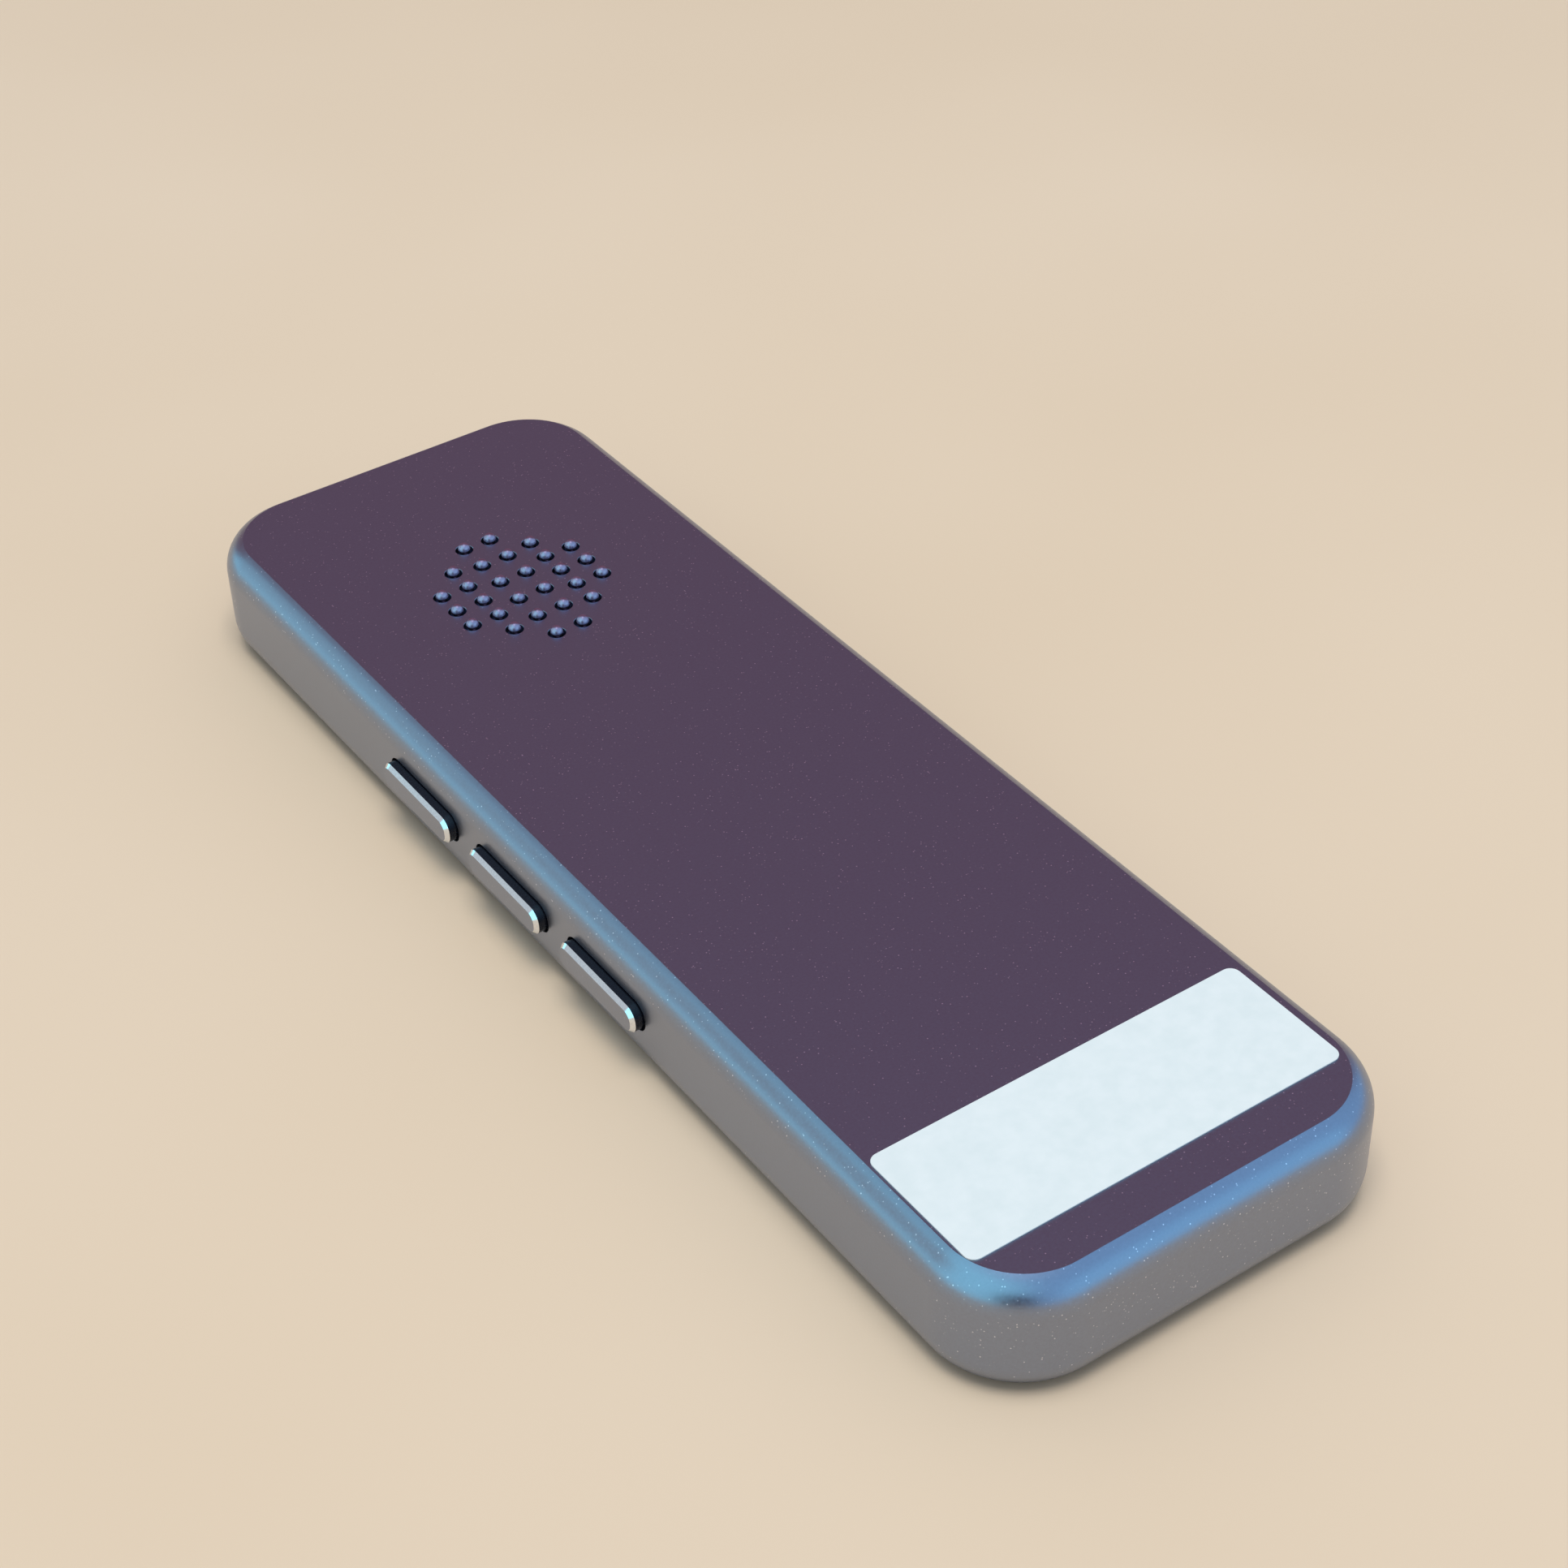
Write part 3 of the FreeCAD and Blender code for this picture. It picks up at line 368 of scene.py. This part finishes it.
# Anodised aluminium, bead-blasted: a dim satin mirror with a bluish grey tint. The blasted grain
# of a tenth of a millimetre is drawn at 0.2 mm so that it shows. Glints are painted on it: random
# cells 0.14 mm across get a paler, near-white colour, which stands for facets catching the light.
anodised, shader, place, tint, bump = grained("anodised_blasted_aluminium", "8d95a8", "919aae", 0.30, 0.36,
                                              0.2, 0.004, 1.0)
# Painted glints: a few random cells, FACET across, are painted a paler, near-white colour.
FACET = 0.14
facets = node(anodised, "ShaderNodeTexVoronoi", {"Vector": place}, {"Scale": 1 / (FACET * MM)})
lit = node(anodised, "ShaderNodeSeparateColor", {"Color": facets.outputs["Color"]})
painted_glint = node(anodised, "ShaderNodeMapRange", {"Value": lit.outputs["Red"]},
             {"From Min": 0.95, "From Max": 0.995})
painted_glint_spot = node(anodised, "ShaderNodeMapRange", {"Value": facets.outputs["Distance"]},
            {"From Min": 0.25, "From Max": 0.45, "To Min": 1.0, "To Max": 0.0})
painted_glint_mask = node(anodised, "ShaderNodeMath", {0: painted_glint.outputs["Result"], 1: painted_glint_spot.outputs["Result"]},
            operation="MULTIPLY")
mixed = node(anodised, "ShaderNodeMix", {0: painted_glint_mask.outputs["Value"], 6: tint.outputs["Color"]},
             {7: linear("e2e4f2")}, data_type="RGBA")
anodised.node_tree.links.new(mixed.outputs[2], shader.inputs["Base Color"])


def dress(made, body, slot, materials, *nodes):
    """Gives a finished piece its materials and body, and lets it stand for CAD nodes. The slot is not used.
    """
    for material in materials:
        made.data.materials.append(material)
    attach(made, body)
    if nodes:
        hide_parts(*nodes)


dress(case, "housing", "case_metal", [anodised], "back_case")


# Sound-hole pins. One steel part behind the back wall: a ring and six bars, with a pin on a bar
# for each hole. Each pin's round head stands in its hole, and sound passes round it.
PIN_HEAD_R, PIN_HEAD_Z, PIN_NECK_R = 0.54, 10.10, 0.3
PIN_RING_R, PIN_RING_W, PIN_BAR_W, PIN_BAR_T = 10.0, 1.0, 0.5, 0.2
PIN_FOOT = INNER_TOP - PIN_BAR_T / 2


def copy_to(made, name, x, y):
    """A copy with its own mesh, moved within the mesh so that its object stays at the origin."""
    piece = bpy.data.objects.new(name, made.data.copy())
    bpy.context.scene.collection.objects.link(piece)
    piece.data.transform(Matrix.Translation((x * MM, y * MM, 0)))
    return piece


bpy.ops.object.select_all(action="DESELECT")
bpy.ops.mesh.primitive_uv_sphere_add(segments=32, ring_count=20, radius=PIN_HEAD_R * MM,
                                     location=(0, 0, PIN_HEAD_Z * MM))
pin = bpy.context.object
bpy.ops.object.transform_apply(location=True, rotation=True, scale=True)
bpy.ops.object.mode_set(mode="EDIT")
saw(PIN_HEAD_Z - math.sqrt(PIN_HEAD_R ** 2 - PIN_NECK_R ** 2), below=False)
pick(pin, "FACE", lambda face: face.calc_center_median().z < (PIN_HEAD_Z - 0.8 * PIN_HEAD_R) * MM)
bpy.ops.mesh.extrude_region_move()
bpy.ops.transform.resize(value=(1, 1, 0), center_override=(0, 0, PIN_FOOT * MM))
done(pin)
pins = done(start_disc("grille_pins_part", 0, GRILLE_Y, INNER_TOP - PIN_BAR_T, INNER_TOP, PIN_RING_R,
                       96))
combine(pins, done(start_disc("bore", 0, GRILLE_Y, 0, THICK, PIN_RING_R - PIN_RING_W, 96)))
columns = sorted(side * x for x, rows in GRILLE_COLUMNS for side in (-1, 1))
for x in columns:
    reach = math.sqrt((PIN_RING_R - PIN_RING_W / 2) ** 2 - x ** 2)
    combine(pins, done(start_box("bar", (x - PIN_BAR_W / 2, GRILLE_Y - reach, INNER_TOP - PIN_BAR_T),
                                 (x + PIN_BAR_W / 2, GRILLE_Y + reach, INNER_TOP))), "UNION")
combine(pins, join([copy_to(pin, "pin", side * x, GRILLE_Y + y) for x, rows in GRILLE_COLUMNS for y in rows
                    for side in (-1, 1)]), "UNION")
bpy.data.objects.remove(pin)
smooth(pins, 30)
# Steel with a lilac tone and a satin polish: each head shows one soft highlight on its upper side.
polished_steel = grained("polished_toned_steel", "a08fa6", "ae9db4", 0.30, 0.38, 0.3, 0.0005, 1.0)[0]
dress(pins, "housing", "key_metal", [polished_steel], "grille_pins")


# Side keys. Three like bars milled from the same aluminium, their rims cut to a bright 0.3 mm
# chamfer with a diamond tool. Their sides are painted near black, as painted shade for the slots
# they sit in. A flange behind the wall keeps each in.
KEY_PROUD, KEY_CHAMFER, KEY_FLANGE, KEY_FLANGE_T, KEY_NUB_T = 0.95, 0.3, 0.5, 0.4, 0.1
KEY_NUB_Y, KEY_NUB_Z, KEY_NUB_R = 0.9, 0.6, 0.3
KEY_OUT, KEY_BACK = -HALF_W - KEY_PROUD, -HALF_W + WALL + 0.1
key_y, key_z = KEY_LENGTH / 2, KEY_HEIGHT / 2
key = start_box("key", (KEY_OUT, -key_y, MID_Z - key_z), (KEY_BACK + 0.1, key_y, MID_Z + key_z))
pick(key, "EDGE", along(0))
bevel(KEY_R, 14)
pick(key, "EDGE", lying(0, KEY_OUT))
bevel(KEY_CHAMFER, 1)
done(key)
combine(key, bar("flange", (KEY_BACK, -key_y - KEY_FLANGE, MID_Z - key_z - KEY_FLANGE),
                 (KEY_BACK + KEY_FLANGE_T, key_y + KEY_FLANGE, MID_Z + key_z + KEY_FLANGE), 0,
                 KEY_R + KEY_FLANGE), "UNION")
combine(key, bar("nub", (KEY_BACK + 0.2, -KEY_NUB_Y, MID_Z - KEY_NUB_Z),
                 (KEY_BACK + KEY_FLANGE_T + KEY_NUB_T, KEY_NUB_Y, MID_Z + KEY_NUB_Z), 0, KEY_NUB_R, 4),
        "UNION")
smooth(key)
# The face takes the first material, the chamfer the second and the sides the third, which is painted shade.
for face in key.data.polygons:
    on_rim = face.center.x < (KEY_OUT + KEY_CHAMFER) * MM - 1e-7
    face.material_index = (0 if face.normal.x < -0.99 else 1) if on_rim else 2

# Diamond-cut aluminium: a bright mirror line round the key's face, with faint tool marks.
diamond_cut = grained("diamond_cut_aluminium", "dfe5ef", "eef2f8", 0.08, 0.14, 0.15, 0.0005, 1.0)[0]
# Painted shade on the key sides: near black and glossy, standing for the shade in the slots, so that they
# mirror the wall only faintly.
painted_shade_sides = grained("key_sides_painted_shade", "0c0e16", "12151f", 0.22, 0.30, 0.2, 0.001)[0]
for name, y in zip(("power_key", "volume_up_key", "volume_down_key"), KEY_Y):
    dress(copy_to(key, name + "_bar", 0, y), name, "key_metal", [anodised, diamond_cut, painted_shade_sides], name)
bpy.data.objects.remove(key)


# Label. A bare white coated film, 0.1 mm thick with round corners, stuck across the back.
LABEL_W, LABEL_L, LABEL_T, LABEL_X, LABEL_Y = 31.8, 11.3, 0.1, -0.2, -45.05
LABEL_R, LABEL_ROUND = 0.8, 0.03
label = rounded_block("bare_label", LABEL_W / 2, LABEL_L / 2, LABEL_R, THICK, THICK + LABEL_T,
                      LABEL_ROUND, (THICK + LABEL_T,), 6, 2)
done(label)
label.data.transform(Matrix.Translation((LABEL_X * MM, LABEL_Y * MM, 0)))
smooth(label)
# Coated polyester film: even cool white with a soft sheen and a very faint coating mottle.
white_film = grained("white_coated_film", "e4f0f1", "eaf4f5", 0.38, 0.48, 1.2, 0.002)[0]
dress(label, "housing", "label_film", [white_film], "label")


# Front frame. A black moulded ring that carries the glass, with a deck, a skirt and screw bosses
# inside the case. Its rim carries the case's round edge on down to the glass.
def merged_copy(name, cad_node):
    """A copy of a CAD node with its loose triangles merged, so that its curves shade smoothly."""
    made = bpy.data.objects.new(name, frame["nodes"][cad_node].data.copy())
    made.data.materials.clear()
    bpy.context.scene.collection.objects.link(made)
    bpy.ops.object.select_all(action="DESELECT")
    bpy.context.view_layer.objects.active = made
    made.select_set(True)
    bpy.ops.object.mode_set(mode="EDIT")
    bpy.ops.mesh.select_all(action="SELECT")
    bpy.ops.mesh.remove_doubles(threshold=1e-6)
    bpy.ops.mesh.dissolve_limited(angle_limit=math.radians(0.5))
    bpy.ops.object.mode_set(mode="OBJECT")
    smooth(made)
    return made


# Moulded black polycarbonate: a fine spark-eroded texture, matt black.
black_moulding = grained("moulded_black_polycarbonate", "16161a", "1d1d22", 0.42, 0.55, 0.25, 0.006)[0]
dress(merged_copy("front_frame_ring", "front_frame"), "housing", "frame_plastic", [black_moulding],
      "front_frame")


# Front glass. A sheet of strengthened glass 0.8 mm thick with a rounded edge, printed black
# behind round the screen's window, and bored for the two talk keys. It is bonded to the frame.
GLASS_X, GLASS_Y, GLASS_R, GLASS_T, GLASS_ROUND, BORE_ROUND = 15.7, 53.8, 5.2, 0.8, 0.25, 0.12
TALK_X, TALK_Y, TALK_R, TALK_GAP = 7.8, -37.0, 5.5, 0.1
glass = done(rounded_block("cover_glass_sheet", GLASS_X, GLASS_Y, GLASS_R, 0, GLASS_T, GLASS_ROUND,
                           (0.0,), 16, 5))
for x in (-TALK_X, TALK_X):
    combine(glass, done(start_disc("bore", x, TALK_Y, -1, GLASS_T + 1, TALK_R + TALK_GAP, 96)))
bpy.context.view_layer.objects.active = glass
bpy.ops.object.mode_set(mode="EDIT")
pick(glass, "EDGE", lambda edge: lying(2, 0)(edge) and edge.calc_face_angle(0) > 1.0)
bevel(BORE_ROUND, 3)
bpy.ops.object.mode_set(mode="OBJECT")
smooth(glass)
# Printed glass: deep gloss black, with a slightly bluer, paler window where the screen lies.
printed_glass, shader, place, tint = grained("black_printed_glass", "050507", "060608", 0.03, 0.05,
                                             12.0, 0.0)[:4]
SCREEN_X, SCREEN_Y0, SCREEN_Y1 = 14.0, -19.0, 41.0
split = node(printed_glass, "ShaderNodeSeparateXYZ", {"Vector": place})
masks = []
for axis, middle, half in (("X", 0.0, SCREEN_X),
                           ("Y", (SCREEN_Y0 + SCREEN_Y1) / 2, (SCREEN_Y1 - SCREEN_Y0) / 2)):
    shift = node(printed_glass, "ShaderNodeMath", {0: split.outputs[axis]}, {1: middle * MM},
                 operation="SUBTRACT")
    reach = node(printed_glass, "ShaderNodeMath", {0: shift.outputs["Value"]}, operation="ABSOLUTE")
    masks.append(node(printed_glass, "ShaderNodeMath", {0: reach.outputs["Value"]}, {1: half * MM},
                      operation="LESS_THAN").outputs["Value"])
window = node(printed_glass, "ShaderNodeMath", {0: masks[0], 1: masks[1]}, operation="MULTIPLY")
mixed = node(printed_glass, "ShaderNodeMix", {0: window.outputs["Value"], 6: tint.outputs["Color"]},
             {7: linear("14161d")}, data_type="RGBA")
printed_glass.node_tree.links.new(mixed.outputs[2], shader.inputs["Base Color"])
dress(glass, "housing", "cover_glass", [printed_glass], "front_glass")


# Talk keys. Two round dished caps in the glass, turned with fine rings and dyed dark grey, one
# for each language. A flange under the frame keeps each in, and a nub meets its switch.
TALK_FACE, TALK_CHAMFER, DISH_R, DISH = 0.35, 0.2, 40.0, 0.3
TALK_FLANGE_Z, TALK_FLANGE_T, TALK_FLANGE_R, TALK_NUB_T, TALK_NUB_R = 1.65, 0.4, 6.3, 0.1, 1.0
DISH_RINGS = 8
talk = start_disc("talk", 0, 0, TALK_FACE, TALK_FLANGE_Z + 0.1, TALK_R, 96)
pick(talk, "EDGE", lying(2, TALK_FACE))
bevel(TALK_CHAMFER, 2)
pick(talk, "FACE", lambda face: face.normal.z < -0.99 and len(face.verts) > 8)
dish_edge = math.sqrt(DISH_R ** 2 - (DISH_R - DISH) ** 2)
bpy.ops.mesh.inset(thickness=(TALK_R - TALK_CHAMFER - dish_edge) * MM)
for ring in range(DISH_RINGS, 1, -1):
    outer, inner = dish_edge * ring / DISH_RINGS, dish_edge * (ring - 1) / DISH_RINGS
    drop = math.sqrt(DISH_R ** 2 - inner ** 2) - math.sqrt(DISH_R ** 2 - outer ** 2)
    bpy.ops.mesh.inset(thickness=(outer - inner) * MM, depth=-drop * MM)
done(talk)
combine(talk, done(start_disc("flange", 0, 0, TALK_FLANGE_Z, TALK_FLANGE_Z + TALK_FLANGE_T,
                              TALK_FLANGE_R, 96)), "UNION")
combine(talk, done(start_disc("nub", 0, 0, TALK_FLANGE_Z + 0.2,
                              TALK_FLANGE_Z + TALK_FLANGE_T + TALK_NUB_T, TALK_NUB_R)), "UNION")
smooth(talk)
# Turned and dyed cap: satin dark grey with rings 0.3 mm apart, drawn wider than the real ones.
turned_cap, shader, place, tint, bump = grained("turned_satin_cap", "34363c", "3c3f46", 0.28, 0.36, 0.2,
                                                0.001, 0.6)
RING_PITCH = 0.3
split = node(turned_cap, "ShaderNodeSeparateXYZ", {"Vector": place})
side = node(turned_cap, "ShaderNodeMath", {0: split.outputs["X"]}, operation="ABSOLUTE")
dx = node(turned_cap, "ShaderNodeMath", {0: side.outputs["Value"]}, {1: TALK_X * MM}, operation="SUBTRACT")
dy = node(turned_cap, "ShaderNodeMath", {0: split.outputs["Y"]}, {1: TALK_Y * MM}, operation="SUBTRACT")
flat = node(turned_cap, "ShaderNodeCombineXYZ", {"X": dx.outputs["Value"], "Y": dy.outputs["Value"]})
radius = node(turned_cap, "ShaderNodeVectorMath", {0: flat.outputs["Vector"]}, operation="LENGTH")
phase = node(turned_cap, "ShaderNodeMath", {0: radius.outputs["Value"]},
             {1: 2 * math.pi / (RING_PITCH * MM)}, operation="MULTIPLY")
rings = node(turned_cap, "ShaderNodeMath", {0: phase.outputs["Value"]}, operation="SINE")
ridges = node(turned_cap, "ShaderNodeBump",
              {"Height": rings.outputs["Value"], "Normal": bump.outputs["Normal"]},
              {"Distance": 0.004 * MM})
turned_cap.node_tree.links.new(ridges.outputs["Normal"], shader.inputs["Normal"])
for name, x in (("talk_key_left", -TALK_X), ("talk_key_right", TALK_X)):
    dress(copy_to(talk, name + "_cap", x, TALK_Y), name, "talk_key_plastic", [turned_cap], name)
bpy.data.objects.remove(talk)


# Charging socket. A drawn steel shell in the far end, with a plastic tongue that carries twelve
# gilt contacts on each face. It is soldered to the board.
TONGUE_TOP, PADS, PAD_PITCH, PAD_W, PAD_T, PAD_ROUND = 5.35, 12, 0.5, 0.26, 0.03, 0.02
PAD_Y0, PAD_Y1 = 51.4, 54.7
# Tinned steel sheet: a bright grey metal with a soft grain from rolling.
tinned_steel = grained("tinned_steel_sheet", "a9a9a6", "b9b9b6", 0.25, 0.38, 0.3, 0.001, 1.0)[0]
dress(merged_copy("socket_shell", "charging_port"), "housing", "can_steel", [tinned_steel],
      "charging_port")
pad = start_box("pad", (-PAD_W / 2, PAD_Y0, TONGUE_TOP - 0.01), (PAD_W / 2, PAD_Y1, TONGUE_TOP + PAD_T))
pick(pad, "EDGE", lying(2, TONGUE_TOP + PAD_T))
bevel(PAD_ROUND, 2)
done(pad)
pads = []
for i in range(PADS):
    x = (i - (PADS - 1) / 2) * PAD_PITCH
    pads.append(copy_to(pad, "pad", x, 0))
    under = copy_to(pad, "pad", x, 0)
    under.data.transform(Matrix.Translation((0, 0, 2 * MID_Z * MM)) @ Matrix.Rotation(math.pi, 4, "Y"))
    pads.append(under)
bpy.data.objects.remove(pad)
contacts = join(pads)
contacts.name = "socket_contacts"
smooth(contacts)
# Gold plate: warm yellow metal with a fine plating grain.
gold_plate = grained("gold_plate", "d9b25a", "e4c070", 0.18, 0.28, 0.2, 0.0005, 1.0)[0]
dress(contacts, "housing", "contact_metal", [gold_plate])


# Parts inside. They keep their CAD shapes, and each gets the finish of what it is made from.
# Bonded film and foam: dull black with a soft tooth.
black_tape = grained("black_foam_tape", "131313", "1b1b1b", 0.70, 0.85, 0.3, 0.02)[0]
# Display panel: smooth dark glass over a polariser, with a faint blue cast.
panel_glass = grained("display_panel_glass", "101218", "14161e", 0.06, 0.10, 6.0, 0.0)[0]
# Epoxy packages: black with a fine matt grain.
black_epoxy = grained("moulded_black_epoxy", "151515", "202020", 0.50, 0.62, 0.15, 0.004)[0]
# Nickel-plated screws: mid-grey metal, a little duller than the steel sheet.
nickel_screws = grained("nickel_plated_steel", "8f9092", "a0a1a3", 0.28, 0.40, 0.2, 0.001, 1.0)[0]
# Wire insulation: red plastic with a soft gloss.
red_insulation = grained("red_wire_insulation", "8f1512", "a21a16", 0.35, 0.45, 0.6, 0.003)[0]
# Black ABS: moulded with a light grain, a little paler than the frame.
black_abs = grained("moulded_black_abs", "232327", "2c2c31", 0.45, 0.58, 0.3, 0.006)[0]
# Open foam: dark and pitted, with no gloss.
open_foam = grained("open_cell_foam", "0f0f0f", "262626", 0.85, 0.95, 0.35, 0.08)[0]
# Silicone rubber: matt black with a slight bloom.
silicone = grained("black_silicone_rubber", "181819", "222224", 0.60, 0.72, 0.5, 0.004)[0]

# Solder mask over copper: glossy green with paler tracks that run at right angles under it.
solder_mask, shader, place, tint = grained("green_solder_mask", "0c3f26", "0f4a2d", 0.22, 0.30, 2.0,
                                           0.0)[:4]
TRACK_PITCH = 1.2
tracks = node(solder_mask, "ShaderNodeTexBrick", {"Vector": place, "Color1": tint.outputs["Color"],
                                                  "Color2": tint.outputs["Color"]},
              {"Mortar": linear("1f7a4a"), "Scale": 1 / (TRACK_PITCH * MM), "Mortar Size": 0.06,
               "Brick Width": 2.5, "Row Height": 0.5})
solder_mask.node_tree.links.new(tracks.outputs["Color"], shader.inputs["Base Color"])

# Polyimide film: amber and glossy, with darker copper lines 0.5 mm apart along the strip.
flex_film, shader, place = grained("amber_polyimide_film", "a4641d", "b87424", 0.25, 0.35, 1.0,
                                   0.002)[:3]
LINE_PITCH = 0.5
lines = node(flex_film, "ShaderNodeTexWave", {"Vector": place}, {"Scale": math.pi / (10 * LINE_PITCH * MM)},
             bands_direction="X")
shade = node(flex_film, "ShaderNodeValToRGB", {"Fac": lines.outputs["Fac"]},
             stops=((0.5, "7c430f"), (0.6, "b8772a")))
flex_film.node_tree.links.new(shade.outputs["Color"], shader.inputs["Base Color"])

# Pouch foil: aluminium laminate pressed with small dimples, pale grey and satin.
pouch_foil, shader, place, tint, bump = grained("embossed_pouch_foil", "b4b5b8", "c2c3c6", 0.30, 0.42, 0.4,
                                                0.001, 0.9)
DIMPLE = 0.9
dimples = node(pouch_foil, "ShaderNodeTexVoronoi", {"Vector": place}, {"Scale": 1 / (DIMPLE * MM)})
press = node(pouch_foil, "ShaderNodeBump",
             {"Height": dimples.outputs["Distance"], "Normal": bump.outputs["Normal"]},
             {"Distance": 0.02 * MM})
pouch_foil.node_tree.links.new(press.outputs["Normal"], shader.inputs["Normal"])

# Dust cloth: fine black weave, its threads 0.2 mm apart.
dust_cloth, shader, place = grained("woven_dust_cloth", "0c0c0d", "161617", 0.70, 0.80, 0.2, 0.005)[:3]
THREAD = 0.2
threads = [node(dust_cloth, "ShaderNodeTexWave", {"Vector": place},
                {"Scale": math.pi / (10 * THREAD * MM)}, bands_direction=run).outputs["Fac"] for run in "XY"]
weave = node(dust_cloth, "ShaderNodeMath", {0: threads[0], 1: threads[1]}, operation="ADD")
knit = node(dust_cloth, "ShaderNodeBump", {"Height": weave.outputs["Value"]}, {"Distance": 0.03 * MM})
dust_cloth.node_tree.links.new(knit.outputs["Normal"], shader.inputs["Normal"])

finishes = {"tape": black_tape, "display": panel_glass, "chip": black_epoxy, "screw_steel": nickel_screws,
            "lead_insulation": red_insulation, "inner_plastic": black_abs, "foam": open_foam,
            "soft_rubber": silicone, "board": solder_mask, "flex_film": flex_film,
            "battery_foil": pouch_foil, "mesh": dust_cloth, "can_steel": tinned_steel,
            "contact_metal": gold_plate, "case_metal": anodised, "key_metal": anodised,
            "frame_plastic": black_moulding, "cover_glass": printed_glass, "talk_key_plastic": turned_cap,
            "label_film": white_film}
for part in frame["record"]["subparts"]:
    mesh = frame["nodes"][part["node"]].data
    mesh.materials.clear()
    mesh.materials.append(finishes[part["material_slot"]])
